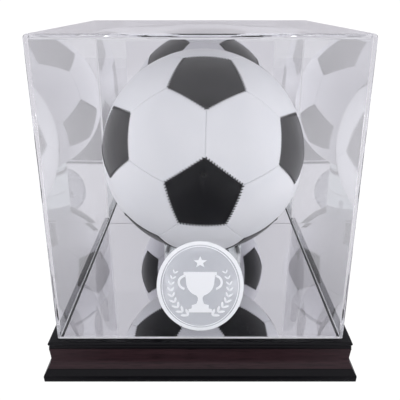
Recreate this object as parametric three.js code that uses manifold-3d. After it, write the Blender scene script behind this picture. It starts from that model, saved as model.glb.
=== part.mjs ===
// Football display case: a clear acrylic cover with a mirrored back stands on a moulded wooden
// base with a mirrored floor, and shows a size 5 football on a clear ring.
// Millimetres, +Z up. The origin is on the ground under the middle of the base, and the front,
// where the emblem is, faces -Y.

import * as THREE from 'three';
import { mergeVertices } from 'three/addons/utils/BufferGeometryUtils.js';
import Module from 'manifold-3d';

const wasm = await Module();
wasm.setup();

// ---------------------------------------------------------------- driving dimensions

const GAP = 0.3; // clearance between pieces that touch on the real object

// Wooden base, from the ground up
const PAD_HEIGHT = 1.5; // the soft pads lift the wood this far
const PAD_RADIUS = 9;
const PAD_PLACE = 132; // pad centres from the middle, along X and Y
const BASE_HEIGHT = 41.8; // wood, without the pads
const DECK_THICKNESS = 7;
const COVE_HEIGHT = 21.4;
const RAIL_INSIDE = 118; // the rails' inner faces from the middle
const MITRE_SHIFT = 0.22; // each mitred end is cut back this far along X
const PANEL_THICKNESS = 3;
const BLOCK_SIZE = 22;

// Clear cover
const COVER_HALF = 138; // half its width at the deck
const COVER_HALF_TOP = 135; // half its width at the top: the walls lean in to leave the mould
const COVER_HEIGHT = 278;
const WALL = 3;
const COVER_CORNER = 3; // radius of the upright corners and the top edges
const REBATE_DEPTH = 1.2; // the cover's rim stands this deep in the deck

// Mirrors
const FLOOR_MIRROR_THICKNESS = 2;
const FLOOR_MIRROR_SINK = 3.2; // its face lies this far below the deck's top
const BACK_MIRROR_THICKNESS = 2.5;
const BACK_MIRROR_ROOM = 1.1; // from its side edges to the cover's walls
const TAPE_THICKNESS = 0.9;
const TAPE_WIDTH = 20;
const TAPE_PLACE = 90; // tape strips from the middle, along X
const TAPE_INSET = 12; // the tape ends this far from the mirror's top and bottom

// Emblem film on the front wall
const EMBLEM_HALF_WIDTH = 40;
const EMBLEM_HALF_HEIGHT = 47.5;
const EMBLEM_CENTRE = 57; // above the deck
const EMBLEM_THICKNESS = 0.4;
const EMBLEM_SIDES = 40;

// Football and its ring
const BALL_RADIUS = 110; // size 5
const BALL_SEAM_DROP = 0.8; // the seams lie this far below the panels' middles
const SEAM_HALF_GAP = 0.2; // each panel's edge stays this far from the seam's middle line
const BALL_PLACE = new THREE.Vector3(3, 0, 145.4); // centre, measured from the middle of the deck
const BALL_TILT = new THREE.Euler(0.1066, 0.0354, 0.002); // how the ball was set down on its ring
const PANEL_SKIN = 3;
const BLADDER_RADIUS = 106;
const BLADDER_WALL = 1.5;
const VALVE_HOLE = 3.2;
const VALVE_STEM = 2.8;
const VALVE_FLANGE = 7;
const VALVE_WAY = 0.6; // the valve's place, from the front pentagon's middle to its top corner
const RING_BORE = 43;
const RING_WALL = 3;
const RING_BEVEL = 0.8;

// Worked out from the dimensions above
const DECK_TOP = PAD_HEIGHT + BASE_HEIGHT;
const DECK_BOTTOM = DECK_TOP - DECK_THICKNESS;
const COVE_TOP = DECK_BOTTOM - GAP;
const COVE_BOTTOM = COVE_TOP - COVE_HEIGHT;
const FOOT_TOP = COVE_BOTTOM - GAP;
const FLOOR_MIRROR_TOP = DECK_TOP - FLOOR_MIRROR_SINK;
const FLOOR_MIRROR_BOTTOM = FLOOR_MIRROR_TOP - FLOOR_MIRROR_THICKNESS;
const LEAN = (COVER_HALF - COVER_HALF_TOP) / COVER_HEIGHT; // how far a wall leans in for each mm up
const RING_TOP = BALL_PLACE.z - Math.sqrt(BALL_RADIUS ** 2 - RING_BORE ** 2) - GAP; // above the deck
const RING_HEIGHT = RING_TOP + FLOOR_MIRROR_SINK;

// ---------------------------------------------------------------- finishes

const FINISHES = {
  blackLacquer: { color: 0x1d1c20, roughness: 0.35, metalness: 0 },
  mahogany: { color: 0x2e1e22, roughness: 0.35, metalness: 0 },
  pine: { color: 0xb99566, roughness: 0.8, metalness: 0 },
  hardboard: { color: 0x5e432c, roughness: 0.85, metalness: 0 },
  felt: { color: 0x161616, roughness: 1, metalness: 0 },
  mirror: { color: 0xd9dbe0, roughness: 0.03, metalness: 1 },
  tape: { color: 0xe8e8e4, roughness: 0.9, metalness: 0 },
  frosted: { color: 0xe9edf2, roughness: 0.7, metalness: 0 },
  blackLeather: { color: 0x202024, roughness: 0.45, metalness: 0 },
  whiteLeather: { color: 0xdadbe0, roughness: 0.5, metalness: 0 },
  latex: { color: 0x8c7f6b, roughness: 0.7, metalness: 0 },
  rubber: { color: 0x111112, roughness: 0.6, metalness: 0 },
};
const CLEAR = { color: 0xdfe6ea, roughness: 0.05, metalness: 0, transparent: true, opacity: 0.25 };

const caseGroup = new THREE.Group();

function addPiece(name, geometry, finish, parent = caseGroup) {
  const mesh = new THREE.Mesh(geometry, new THREE.MeshStandardMaterial(finish));
  mesh.name = name;
  parent.add(mesh);
  return mesh;
}

// ---------------------------------------------------------------- solids

// Merges shared corners, drops triangles of no area and turns the faces outwards.
function closeSolid(geometry) {
  geometry.deleteAttribute('normal');
  geometry.deleteAttribute('uv');
  const merged = mergeVertices(geometry, 1e-4);
  const position = merged.getAttribute('position');
  const index = [];
  const corner = [new THREE.Vector3(), new THREE.Vector3(), new THREE.Vector3()];
  let volume = 0;
  for (let i = 0; i < merged.index.count; i += 3) {
    const ids = [0, 1, 2].map((k) => merged.index.getX(i + k));
    if (new Set(ids).size === 3) {
      ids.forEach((id, k) => corner[k].fromBufferAttribute(position, id));
      volume += corner[0].dot(corner[1].cross(corner[2]));
      index.push(ids);
    }
  }
  const outward = volume > 0 ? index : index.map(([a, b, c]) => [a, c, b]);
  merged.setIndex(outward.flat());
  return merged;
}

// A skin from one closed section to the next, with the first and last sections closed off flat.
// Every section has the same number of points, and the end sections are convex.
function loft(sections) {
  const count = sections[0].length;
  const points = sections.flat();
  const triangles = [];
  for (let s = 0; s + 1 < sections.length; s += 1) {
    for (let i = 0; i < count; i += 1) {
      const a = s * count + i;
      const b = s * count + ((i + 1) % count);
      triangles.push(a, b, b + count, a, b + count, a + count);
    }
  }
  const last = (sections.length - 1) * count;
  for (let i = 1; i + 1 < count; i += 1) {
    triangles.push(0, i + 1, i);
    triangles.push(last, last + i, last + i + 1);
  }
  return solidFrom(points, triangles);
}

function solidFrom(points, triangles) {
  const geometry = new THREE.BufferGeometry();
  geometry.setFromPoints(points);
  geometry.setIndex(triangles);
  return closeSolid(geometry);
}

function toManifold(geometry) {
  return new wasm.Manifold(new wasm.Mesh({
    numProp: 3,
    vertProperties: new Float32Array(geometry.getAttribute('position').array),
    triVerts: new Uint32Array(geometry.index.array),
  }));
}

function cut(geometry, cutter) {
  const mesh = toManifold(geometry).subtract(toManifold(cutter)).getMesh();
  const result = new THREE.BufferGeometry();
  result.setAttribute('position', new THREE.BufferAttribute(mesh.vertProperties, 3));
  result.setIndex(Array.from(mesh.triVerts));
  return closeSolid(result);
}

// A level square section with rounded corners, drawn as four arcs.
function squareSection(half, z, radius) {
  const steps = 3;
  const points = [];
  for (let quarter = 0; quarter < 4; quarter += 1) {
    for (let i = 0; i <= steps; i += 1) {
      const angle = (quarter + i / steps) * (Math.PI / 2);
      const sideX = quarter === 0 || quarter === 3 ? 1 : -1;
      const sideY = quarter < 2 ? 1 : -1;
      points.push(new THREE.Vector3(
        sideX * (half - radius) + radius * Math.cos(angle),
        sideY * (half - radius) + radius * Math.sin(angle),
        z,
      ));
    }
  }
  return points;
}

function box(low, high) {
  const size = new THREE.Vector3().subVectors(high, low);
  const geometry = new THREE.BoxGeometry(size.x, size.y, size.z);
  geometry.translate((low.x + high.x) / 2, (low.y + high.y) / 2, (low.z + high.z) / 2);
  return closeSolid(geometry);
}

// A turned piece: the profile's points are [radius, height], and the axis is +Z.
function turned(profile, segments) {
  const points = profile.map(([radius, height]) => new THREE.Vector2(radius, height));
  const geometry = new THREE.LatheGeometry(points, segments);
  geometry.rotateX(Math.PI / 2);
  return closeSolid(geometry);
}

// ---------------------------------------------------------------- wooden base

// Each moulding's face is a list of [overhang past the cover, height above the rail's bottom].
function curve(points, steps) {
  const spline = new THREE.SplineCurve(points.map(([x, y]) => new THREE.Vector2(x, y)));
  return spline.getPoints(steps).map((point) => [point.x, point.y]);
}

const COVE_FACE = curve([[9.6, 0], [6.9, 5.2], [6.1, 9], [6.3, 15], [6.8, COVE_HEIGHT]], 8);
const FOOT_RAIL_HEIGHT = FOOT_TOP - PAD_HEIGHT;
const FOOT_FACE = [
  [12.7, 0],
  [13.1, 0.7],
  [13.28, 6.6],
  [12.9, 7.8],
  ...curve([[11.6, 9.5], [10.6, 11.3], [9.75, FOOT_RAIL_HEIGHT]], 3),
];

// One rail along the front: its section is swept along X between two mitres.
function mitredRail(face, bottom) {
  const outline = face.map(([overhang, height]) => [COVER_HALF + overhang, bottom + height]);
  const top = outline[outline.length - 1][1];
  outline.push([RAIL_INSIDE, top], [RAIL_INSIDE, outline[0][1]]);
  const count = outline.length;
  const points = [];
  for (const side of [-1, 1]) {
    for (const [out, z] of outline) {
      points.push(new THREE.Vector3(side * (out - MITRE_SHIFT), -out, z));
    }
  }
  const triangles = [];
  for (let i = 0; i < count; i += 1) {
    const next = (i + 1) % count;
    triangles.push(i, next, next + count, i, next + count, i + count);
  }
  const flat = outline.map(([out, z]) => new THREE.Vector2(out, z));
  for (const [a, b, c] of THREE.ShapeUtils.triangulateShape(flat, [])) {
    triangles.push(a, c, b, a + count, b + count, c + count);
  }
  return solidFrom(points, triangles);
}

const SIDES = ['front', 'right', 'back', 'left'];
SIDES.forEach((side, quarter) => {
  const cove = addPiece(`cove_rail_${side}`, mitredRail(COVE_FACE, COVE_BOTTOM), FINISHES.mahogany);
  const foot = addPiece(`foot_rail_${side}`, mitredRail(FOOT_FACE, PAD_HEIGHT), FINISHES.blackLacquer);
  cove.rotation.z = quarter * (Math.PI / 2);
  foot.rotation.z = quarter * (Math.PI / 2);
});

// The deck's rim: [overhang past the cover, depth below the deck's top].
const DECK_RIM = [
  [6.7, DECK_THICKNESS],
  [6.8, 6.2],
  [6.5, 4.8],
  [6.2, 4],
  [7, 3.2],
  [7.39, 1.9],
  [7, 0.6],
  [6, 0],
];
const RIM_RADIUS = 0.8;
const REBATE_HALF = COVER_HALF + 0.4;
const MIRROR_HALF = COVER_HALF - WALL - 0.9; // it slips in with a little room to spare
const RECESS_HALF = MIRROR_HALF + GAP;
const deckSections = DECK_RIM.map(
  ([overhang, depth]) => squareSection(COVER_HALF + overhang, DECK_TOP - depth, RIM_RADIUS),
);
deckSections.push(squareSection(REBATE_HALF, DECK_TOP, COVER_CORNER));
deckSections.push(squareSection(REBATE_HALF, DECK_TOP - REBATE_DEPTH, COVER_CORNER));
deckSections.push(squareSection(RECESS_HALF, DECK_TOP - REBATE_DEPTH, 1));
deckSections.push(squareSection(RECESS_HALF, FLOOR_MIRROR_BOTTOM - GAP, 1));
addPiece('deck_board', loft(deckSections), FINISHES.blackLacquer);

const PANEL_HALF = RAIL_INSIDE - GAP;
const PANEL_BOTTOM = PAD_HEIGHT + 0.5;
const panelLow = new THREE.Vector3(-PANEL_HALF, -PANEL_HALF, PANEL_BOTTOM);
const panelHigh = new THREE.Vector3(PANEL_HALF, PANEL_HALF, PANEL_BOTTOM + PANEL_THICKNESS);
addPiece('bottom_panel', box(panelLow, panelHigh), FINISHES.hardboard);

const CORNERS = { front_left: [-1, -1], front_right: [1, -1], back_right: [1, 1], back_left: [-1, 1] };
const blockHalf = BLOCK_SIZE / 2;
const blockLow = new THREE.Vector3(-blockHalf, -blockHalf, panelHigh.z + GAP);
const blockHigh = new THREE.Vector3(blockHalf, blockHalf, COVE_TOP);
for (const [corner, [sideX, sideY]] of Object.entries(CORNERS)) {
  const block = addPiece(`corner_block_${corner}`, box(blockLow, blockHigh), FINISHES.pine);
  block.position.set(sideX * (PANEL_HALF - blockHalf), sideY * (PANEL_HALF - blockHalf), 0);
  const padTop = PAD_HEIGHT - GAP;
  const disc = turned([[0, 0], [PAD_RADIUS, 0], [PAD_RADIUS, padTop], [0, padTop]], 20);
  const pad = addPiece(`foot_pad_${corner}`, disc, FINISHES.felt);
  pad.position.set(sideX * PAD_PLACE, sideY * PAD_PLACE, 0);
}

// ---------------------------------------------------------------- cover

// Half the cover's outer width at a height above the deck.
function coverHalf(height) {
  return COVER_HALF - LEAN * height;
}

const RIM_HEIGHT = GAP - REBATE_DEPTH; // the cover's rim, just clear of the rebate's floor
const innerHeight = COVER_HEIGHT - WALL;
const innerCorner = 1;
const coverSections = [];
for (const height of [innerHeight, RIM_HEIGHT]) {
  coverSections.push(squareSection(coverHalf(height) - WALL, DECK_TOP + height, innerCorner));
}
coverSections.push(squareSection(coverHalf(RIM_HEIGHT), DECK_TOP + RIM_HEIGHT, COVER_CORNER));
for (let i = 0; i <= 3; i += 1) {
  const angle = (i / 3) * (Math.PI / 2);
  const height = COVER_HEIGHT - COVER_CORNER * (1 - Math.sin(angle));
  const inset = COVER_CORNER * (1 - Math.cos(angle));
  const corner = COVER_CORNER - 0.7 * inset;
  coverSections.push(squareSection(coverHalf(height) - inset, DECK_TOP + height, corner));
}
addPiece('cover', loft(coverSections), CLEAR);

// ---------------------------------------------------------------- mirrors and tape

addPiece(
  'floor_mirror',
  box(
    new THREE.Vector3(-MIRROR_HALF, -MIRROR_HALF, FLOOR_MIRROR_BOTTOM),
    new THREE.Vector3(MIRROR_HALF, MIRROR_HALF, FLOOR_MIRROR_TOP),
  ),
  FINISHES.mirror,
);

// A flat strip that leans with the back wall. depth is how far its two faces lie inside the
// wall's outer face, and across gives its left and right edges at a height.
function leaningStrip(bottom, top, depths, across) {
  const sections = depths.map((depth) => [
    [across(bottom)[0], bottom],
    [across(bottom)[1], bottom],
    [across(top)[1], top],
    [across(top)[0], top],
  ].map(([x, height]) => new THREE.Vector3(x, coverHalf(height) - depth, DECK_TOP + height)));
  return loft(sections);
}

const tapeDepth = WALL + GAP;
const tapeDepths = [tapeDepth, tapeDepth + TAPE_THICKNESS];
const mirrorDepth = tapeDepths[1] + GAP;
const mirrorDepths = [mirrorDepth, mirrorDepth + BACK_MIRROR_THICKNESS];
const mirrorHalf = (height) => coverHalf(height) - WALL - BACK_MIRROR_ROOM;
const mirrorEdges = (height) => [-mirrorHalf(height), mirrorHalf(height)];
const mirrorBottom = GAP - FLOOR_MIRROR_SINK; // it comes down almost to the floor mirror
const backMirror = leaningStrip(mirrorBottom, innerHeight - 1, mirrorDepths, mirrorEdges);
addPiece('back_mirror', backMirror, FINISHES.mirror);
for (const [side, sign] of [['left', -1], ['right', 1]]) {
  const edges = () => [-1, 1].map((edge) => sign * TAPE_PLACE + edge * (TAPE_WIDTH / 2));
  const tape = leaningStrip(TAPE_INSET, innerHeight - TAPE_INSET, tapeDepths, edges);
  addPiece(`mirror_tape_${side}`, tape, FINISHES.tape);
}

// ---------------------------------------------------------------- emblem

// An upright oval of film on the front wall's outer face, leaning with it.
const emblemSections = [GAP, GAP + EMBLEM_THICKNESS].map((proud) => {
  const points = [];
  for (let i = 0; i < EMBLEM_SIDES; i += 1) {
    const angle = (i / EMBLEM_SIDES) * 2 * Math.PI;
    const height = EMBLEM_CENTRE + EMBLEM_HALF_HEIGHT * Math.sin(angle);
    const x = EMBLEM_HALF_WIDTH * Math.cos(angle);
    points.push(new THREE.Vector3(x, -coverHalf(height) - proud, DECK_TOP + height));
  }
  return points;
});
addPiece('emblem', loft(emblemSections), FINISHES.frosted);

// ---------------------------------------------------------------- ring

const ringCentre = new THREE.Vector3(BALL_PLACE.x, BALL_PLACE.y, FLOOR_MIRROR_TOP);
const ringProfile = [
  [RING_BORE, GAP],
  [RING_BORE + RING_WALL, GAP],
  [RING_BORE + RING_WALL, RING_HEIGHT - RING_BEVEL],
  [RING_BORE + RING_WALL - RING_BEVEL, RING_HEIGHT],
  [RING_BORE, RING_HEIGHT],
  [RING_BORE, GAP],
];
const ring = addPiece('ball_ring', turned(ringProfile, 40), CLEAR);
ring.position.copy(ringCentre);

// ---------------------------------------------------------------- football

const ball = new THREE.Group();
ball.position.copy(BALL_PLACE).setZ(DECK_TOP + BALL_PLACE.z);
ball.rotation.copy(BALL_TILT);
caseGroup.add(ball);

// The twelve pentagons' directions are an icosahedron's corners, with the first facing the front
// and the second straight above it.
function pentagonDirections() {
  const front = new THREE.Vector3(0, -1, 0);
  const spread = Math.atan(2);
  const directions = [front];
  for (const [tilt, turn] of [[spread, 0], [Math.PI - spread, 0.5]]) {
    for (let k = 0; k < 5; k += 1) {
      const around = ((k + turn) / 5) * 2 * Math.PI;
      directions.push(new THREE.Vector3(
        Math.sin(tilt) * Math.sin(around),
        -Math.cos(tilt),
        Math.sin(tilt) * Math.cos(around),
      ));
    }
  }
  directions.push(front.clone().negate());
  return directions;
}

const PENTAGONS = pentagonDirections();
const areNeighbours = (a, b) => a !== b && PENTAGONS[a].dot(PENTAGONS[b]) > 0.4;

// The corner of pentagon a that points at pentagon b.
function seamCorner(a, b) {
  return PENTAGONS[a].clone().multiplyScalar(2).add(PENTAGONS[b]).normalize();
}

// Puts corners in order around a middle direction.
function sortAround(corners, middle) {
  const first = corners[0].clone().sub(middle).projectOnPlane(middle);
  const across = new THREE.Vector3().crossVectors(middle, first);
  first.normalize();
  across.normalize();
  const angle = (corner) => Math.atan2(corner.dot(across), corner.dot(first));
  return [...corners].sort((a, b) => angle(a) - angle(b));
}

// A curved panel between two radii. Its edges are drawn in to leave the seam's gap.
function panel(corners, middle) {
  const apothem = BALL_RADIUS * corners[0].clone().add(corners[1]).normalize().distanceTo(middle);
  const shrink = SEAM_HALF_GAP / apothem;
  const edge = corners.map((corner) => corner.clone().lerp(middle, shrink).normalize());
  const rim = [];
  const inner = [];
  edge.forEach((corner, i) => {
    const next = edge[(i + 1) % edge.length];
    rim.push(corner.clone(), corner.clone().lerp(next, 0.5).normalize());
    inner.push(corner.clone().lerp(middle, 0.5).normalize());
  });
  const outerRim = rim.map((d) => d.clone().multiplyScalar(BALL_RADIUS - BALL_SEAM_DROP));
  const outerMid = inner.map((d) => d.clone().multiplyScalar(BALL_RADIUS));
  const innerRim = rim.map((d) => d.clone().multiplyScalar(BALL_RADIUS - PANEL_SKIN));
  const innerMid = inner.map((d) => d.clone().multiplyScalar(BALL_RADIUS - PANEL_SKIN));
  const points = [
    ...outerRim,
    ...outerMid,
    middle.clone().multiplyScalar(BALL_RADIUS),
    ...innerRim,
    ...innerMid,
    middle.clone().multiplyScalar(BALL_RADIUS - PANEL_SKIN),
  ];
  const sides = edge.length;
  const face = 3 * sides + 1;
  const triangles = [];
  const addFace = (start, flip) => {
    for (let i = 0; i < sides; i += 1) {
      const j = (i + 1) % sides;
      const a = start + 2 * i;
      const middleOfSide = start + 2 * i + 1;
      const b = start + 2 * j;
      const innerA = start + 2 * sides + i;
      const innerB = start + 2 * sides + j;
      const centre = start + 3 * sides;
      const set = [
        [a, middleOfSide, innerA],
        [middleOfSide, innerB, innerA],
        [middleOfSide, b, innerB],
        [innerA, innerB, centre],
      ];
      set.forEach(([p, q, r]) => triangles.push(...(flip ? [p, r, q] : [p, q, r])));
    }
  };
  addFace(0, false);
  addFace(face, true);
  for (let i = 0; i < 2 * sides; i += 1) {
    const j = (i + 1) % (2 * sides);
    triangles.push(i, i + face, j + face, i, j + face, j);
  }
  return solidFrom(points, triangles);
}

// The valve's direction, in the front pentagon near its top corner.
const valveDirection = PENTAGONS[0].clone().lerp(seamCorner(0, 1), VALVE_WAY).normalize();
const up = new THREE.Vector3(0, 0, 1);
const towardsValve = new THREE.Quaternion().setFromUnitVectors(up, valveDirection);
const twoDigits = (number) => String(number).padStart(2, '0');

PENTAGONS.forEach((middle, a) => {
  const neighbours = PENTAGONS.map((_, b) => b).filter((b) => areNeighbours(a, b));
  const corners = sortAround(neighbours.map((b) => seamCorner(a, b)), middle);
  let geometry = panel(corners, middle);
  if (a === 0) {
    const low = BALL_RADIUS - 12;
    const high = BALL_RADIUS + 5;
    const drill = turned([[0, low], [VALVE_HOLE, low], [VALVE_HOLE, high], [0, high]], 12);
    geometry = cut(geometry, drill.applyQuaternion(towardsValve));
  }
  addPiece(`pentagon_${twoDigits(a + 1)}`, geometry, FINISHES.blackLeather, ball);
});

let hexagonCount = 0;
for (let a = 0; a < PENTAGONS.length; a += 1) {
  for (let b = a + 1; b < PENTAGONS.length; b += 1) {
    for (let c = b + 1; c < PENTAGONS.length; c += 1) {
      if (areNeighbours(a, b) && areNeighbours(b, c) && areNeighbours(a, c)) {
        const middle = PENTAGONS[a].clone().add(PENTAGONS[b]).add(PENTAGONS[c]).normalize();
        const pairs = [[a, b], [b, a], [b, c], [c, b], [c, a], [a, c]];
        const corners = sortAround(pairs.map(([from, to]) => seamCorner(from, to)), middle);
        hexagonCount += 1;
        addPiece(`hexagon_${twoDigits(hexagonCount)}`, panel(corners, middle), FINISHES.whiteLeather, ball);
      }
    }
  }
}

// An arc of [radius, height] points about the ball's centre, from one angle off +Z to another.
function arc(radius, from, to, steps) {
  const points = [];
  for (let i = 0; i <= steps; i += 1) {
    const angle = from + ((to - from) * i) / steps;
    points.push([radius * Math.sin(angle), radius * Math.cos(angle)]);
  }
  return points;
}

// The bladder is a hollow sphere, open where the valve goes through it.
const bladderInside = BLADDER_RADIUS - BLADDER_WALL;
const holeAngle = VALVE_HOLE / BLADDER_RADIUS;
const bladderProfile = [
  ...arc(BLADDER_RADIUS, Math.PI, holeAngle, 10),
  ...arc(bladderInside, holeAngle, Math.PI, 10),
];
bladderProfile[0][0] = 0;
bladderProfile[bladderProfile.length - 1][0] = 0;
const bladder = addPiece('ball_bladder', turned(bladderProfile, 20), FINISHES.latex, ball);
bladder.quaternion.copy(towardsValve);

// The valve is a rubber plug with a needle's hole and a flange inside the bladder.
const flangeTop = bladderInside - 1.8;
const flangeBottom = flangeTop - 3;
const valveTop = BALL_RADIUS - 1.2;
const needleHole = 0.7;
const needleDepth = 7;
const valveProfile = [
  [0, flangeBottom],
  [VALVE_FLANGE, flangeBottom],
  [VALVE_FLANGE, flangeTop],
  [VALVE_STEM, flangeTop],
  [VALVE_STEM, valveTop],
  [needleHole, valveTop],
  [needleHole, valveTop - needleDepth],
  [0, valveTop - needleDepth],
];
const valve = addPiece('ball_valve', turned(valveProfile, 12), FINISHES.rubber, ball);
valve.quaternion.copy(towardsValve);

export default caseGroup;
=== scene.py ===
# %% [markdown]
# # A football display case
# The case is a clear acrylic box with a mirror behind and below the ball, on a moulded wooden base.
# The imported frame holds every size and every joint. This lesson builds the visible surfaces around
# it, piece by piece, and each piece then rides on the body it belongs to.

# %% Load the frame
import math

import bmesh
import bpy
from mathutils import Euler, Matrix, Vector


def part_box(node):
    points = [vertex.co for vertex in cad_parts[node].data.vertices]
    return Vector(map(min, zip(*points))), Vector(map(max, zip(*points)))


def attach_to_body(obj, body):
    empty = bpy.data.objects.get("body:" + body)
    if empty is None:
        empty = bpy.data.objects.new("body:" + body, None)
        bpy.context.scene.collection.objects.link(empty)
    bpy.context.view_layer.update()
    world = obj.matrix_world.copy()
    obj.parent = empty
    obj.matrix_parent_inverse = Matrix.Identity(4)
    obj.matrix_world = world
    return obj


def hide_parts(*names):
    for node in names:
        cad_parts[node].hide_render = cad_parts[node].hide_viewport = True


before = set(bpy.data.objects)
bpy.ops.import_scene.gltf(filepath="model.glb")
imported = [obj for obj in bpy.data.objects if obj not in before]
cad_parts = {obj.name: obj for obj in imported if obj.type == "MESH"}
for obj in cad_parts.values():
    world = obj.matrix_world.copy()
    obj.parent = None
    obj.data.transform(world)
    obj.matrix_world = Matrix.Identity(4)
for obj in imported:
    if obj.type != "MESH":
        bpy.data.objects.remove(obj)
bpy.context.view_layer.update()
MM = 0.001

# %% [markdown]
# ## Sizes
# Places come from the frame's boxes, so the looks follow the design if it changes. Only what a box
# can't tell, such as how much the walls lean, is named here. All lengths are metres.

# %% Measure the frame
deck_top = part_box("deck_board")[1].z
cover_low, cover_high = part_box("cover")
mirror_low, mirror_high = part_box("floor_mirror")
ring_low, ring_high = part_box("ball_ring")

COVER_HALF = 138 * MM
COVER_TOP_HALF = 135 * MM
WALL = 3 * MM
BALL_RADIUS = 110 * MM
BALL_HEIGHT = 145.4 * MM
cover_height = cover_high.z - deck_top
lean = (COVER_HALF - COVER_TOP_HALF) / cover_height
ring_middle = (ring_low + ring_high) / 2
ball_middle = Vector((ring_middle.x, ring_middle.y, deck_top + BALL_HEIGHT))
print("deck top", round(deck_top, 4), "cover height", round(cover_height, 4), "ball at", ball_middle[:])


def wall_half(height):
    """Half the cover's outer width at a height above the deck."""
    return COVER_HALF - lean * height


# %% [markdown]
# ## Camera and stage
# The camera looks slightly down on the case from the front. The floor is a pale sheet that sweeps
# up behind, with no line where it meets the wall. It glows a little to the camera only, so that it
# reads as a clean white background while the mirrors see the calmer grey that lights the case.


# %% Scene helper
def new_object(name, data):
    """An object with some data, in the scene."""
    made = bpy.data.objects.new(name, data)
    bpy.context.scene.collection.objects.link(made)
    return made


# %% Camera
CAMERA_PLACE = Vector((-0.0002, -0.5211, 0.3449))
CAMERA_PITCH = math.radians(22.35)
CAMERA_LENS = 43.8

camera_data = bpy.data.cameras.new("camera")
camera_data.lens = CAMERA_LENS
camera_data.sensor_width = 36
camera = new_object("camera", camera_data)
camera.location = CAMERA_PLACE
camera.rotation_euler = (math.pi / 2 - CAMERA_PITCH, 0, 0)
bpy.context.scene.camera = camera
bpy.context.scene.view_settings.view_transform = "Standard"
print("camera", camera.location[:], "lens", CAMERA_LENS)


# %% Node helpers
def new_material(name):
    """A material with an empty node tree, and the output node."""
    material = bpy.data.materials.new(name)
    material.use_nodes = True
    material.node_tree.nodes.clear()
    output = material.node_tree.nodes.new("ShaderNodeOutputMaterial")
    return material, output


def add_node(tree, kind, values=None, **settings):
    """Adds a node, sets its properties, and feeds its inputs with sockets or plain values."""
    node = tree.nodes.new(kind)
    for key, value in settings.items():
        setattr(node, key, value)
    for key, value in (values or {}).items():
        if isinstance(value, bpy.types.NodeSocket):
            tree.links.new(value, node.inputs[key])
        else:
            node.inputs[key].default_value = value
    return node


def link(tree, source, target):
    """Joins one socket to another, where a node is fed after it is made."""
    tree.links.new(source, target)


def remap(tree, value, low, high, to_low, to_high):
    """Stretches a value from one range to another, and clamps it."""
    values = {"Value": value, "From Min": low, "From Max": high, "To Min": to_low, "To Max": to_high}
    return add_node(tree, "ShaderNodeMapRange", values).outputs[0]


def calculate(tree, operation, first, second):
    """One math node on two sockets or numbers."""
    return add_node(tree, "ShaderNodeMath", {0: first, 1: second}, operation=operation).outputs[0]


def blend_colours(tree, mask, first, second):
    """A colour between two colours or sockets, by a mask."""
    low, high = ((*c, 1) if isinstance(c, tuple) else c for c in (first, second))
    return add_node(tree, "ShaderNodeMix", {0: mask, 6: low, 7: high}, data_type="RGBA").outputs[2]


def object_vector(tree):
    """Coordinates in metres that stay with the piece."""
    return add_node(tree, "ShaderNodeTexCoord").outputs["Object"]


def split_place(tree):
    """The three parts of a piece's own coordinates."""
    return add_node(tree, "ShaderNodeSeparateXYZ", {0: object_vector(tree)}).outputs


def show_to_camera(tree, real, pure, target):
    """Camera rays meet the pure shader, and all other rays meet the real one."""
    path = add_node(tree, "ShaderNodeLightPath")
    mix = add_node(tree, "ShaderNodeMixShader", {0: path.outputs["Is Camera Ray"], 1: real, 2: pure})
    link(tree, mix.outputs[0], target)


# %% Stage
FLOOR_HALF = 3.0
SWEEP_START = 1.6
SWEEP_RADIUS = 1.2
FLOOR_PAPER = (0.91, 0.905, 0.92)
# Painted shade: where the paper stands up behind, it is coloured greyer than the floor.
SHADED_BACK_PAPER = (0.74, 0.73, 0.755)
FADE_HEIGHT = 0.3
CAMERA_WHITE = 1.05


def build_floor():
    """A sheet that lies flat and then sweeps up behind the case."""
    profile = [(-FLOOR_HALF, 0.0), (SWEEP_START, 0.0)]
    for i in range(1, 17):
        angle = i / 16 * math.pi / 2
        profile.append((SWEEP_START + SWEEP_RADIUS * math.sin(angle), SWEEP_RADIUS * (1 - math.cos(angle))))
    profile.append((SWEEP_START + SWEEP_RADIUS, 3.0))
    points = [(side * FLOOR_HALF, y, z) for y, z in profile for side in (-1, 1)]
    faces = [(2 * i, 2 * i + 1, 2 * i + 3, 2 * i + 2) for i in range(len(profile) - 1)]
    mesh = bpy.data.meshes.new("floor")
    mesh.from_pydata(points, [], faces)
    mesh.shade_smooth()
    floor = new_object("floor", mesh)
    return floor


def floor_material():
    """Matt white paper, made greyer where it stands up by painted shade. To the camera alone it is pure
    white.
    """
    material, output = new_material("paper_sweep")
    tree = material.node_tree
    height = remap(tree, split_place(tree)["Z"], 0.0, FADE_HEIGHT, 0.0, 1.0)
    paper = add_node(tree, "ShaderNodeBsdfDiffuse", {
        "Color": blend_colours(tree, height, FLOOR_PAPER, SHADED_BACK_PAPER),
    })
    glow = add_node(tree, "ShaderNodeEmission", {"Color": (1, 1, 1, 1), "Strength": CAMERA_WHITE})
    show_to_camera(tree, paper.outputs[0], glow.outputs[0], output.inputs["Surface"])
    return material


floor = build_floor()
floor.data.materials.append(floor_material())
print("floor", FLOOR_HALF * 2, "m wide")

# %% [markdown]
# A dark card of painted shade lies in front of the case, out of the camera's sight. The front wall
# and the black leather mirror what lies there, so without the card their blacks would turn grey.

# %% Dark card
CARD_START = -0.155
CARD_FADE = -0.9
CARD_END = -1.9
CARD_CORE = 0.09
CARD_HALF = 0.2
# Painted shade: the dark colour that the front wall and the black leather reflect from in front.
CARD_SHADE = (0.05, 0.05, 0.055)


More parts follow.
